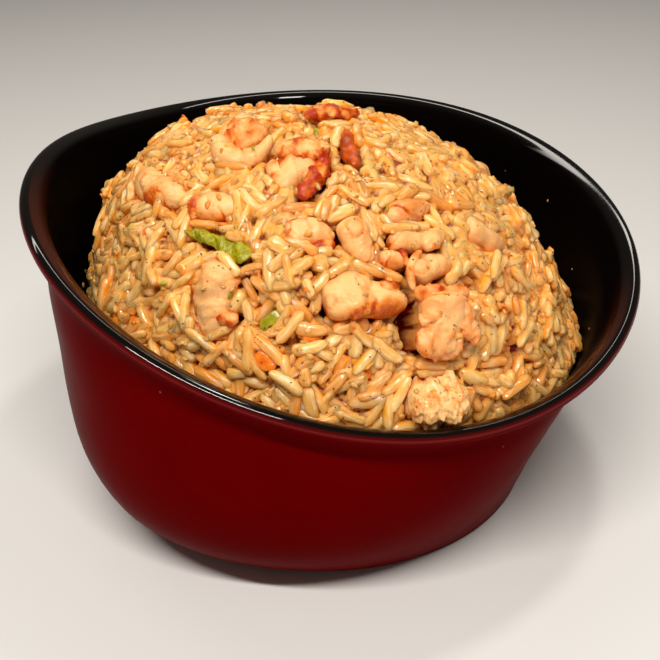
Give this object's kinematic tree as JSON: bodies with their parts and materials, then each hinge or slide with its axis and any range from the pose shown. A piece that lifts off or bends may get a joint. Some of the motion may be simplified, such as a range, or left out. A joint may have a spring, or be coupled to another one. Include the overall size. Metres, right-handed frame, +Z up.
{
  "type": "shrimp fried rice in a bowl",
  "caption": "Fried rice heaped in a deep glossy bowl with a slanted, uneven rim, topped with curled shrimp, egg curds, browned strips and green leaf.",
  "frame": {"origin": "centre of the bowl's flat base, on the table", "axes": "+Z up out of the bowl, -Y towards the low side of the rim where the rice is eaten from, +X to the right seen from there"},
  "size_m": [0.1516, 0.1697, 0.1014],
  "materials": {
    "bowl": "glossy melamine, deep maroon outside, black inside and on the rim",
    "rice": "moist cooked rice browned by sauce, glossy glints",
    "shrimp": "moist cooked shrimp, pinkish cream with browned edges",
    "curd": "soft crumbly egg curd",
    "browned": "seared, glossy, red-brown",
    "leaf": "thin cooked leaf, olive yellow-green"
  },
  "bodies": {
    "root": {"bowl": "bowl", "rice": "rice", "shrimp_1": "shrimp", "shrimp_2": "shrimp", "shrimp_3": "shrimp", "shrimp_4": "shrimp", "shrimp_5": "shrimp", "shrimp_6": "shrimp", "shrimp_7": "shrimp", "shrimp_8": "shrimp", "shrimp_9": "shrimp", "shrimp_10": "shrimp", "shrimp_11": "shrimp", "shrimp_12": "shrimp", "shrimp_13": "shrimp", "shrimp_14": "shrimp", "shrimp_15": "shrimp", "shrimp_16": "shrimp", "shrimp_17": "shrimp", "shrimp_18": "shrimp", "shrimp_19": "shrimp", "curd_1": "curd", "curd_2": "curd", "browned_strip_1": "browned", "browned_strip_2": "browned", "leaf_1": "leaf", "leaf_2": "leaf"}
  },
  "joints": []
}
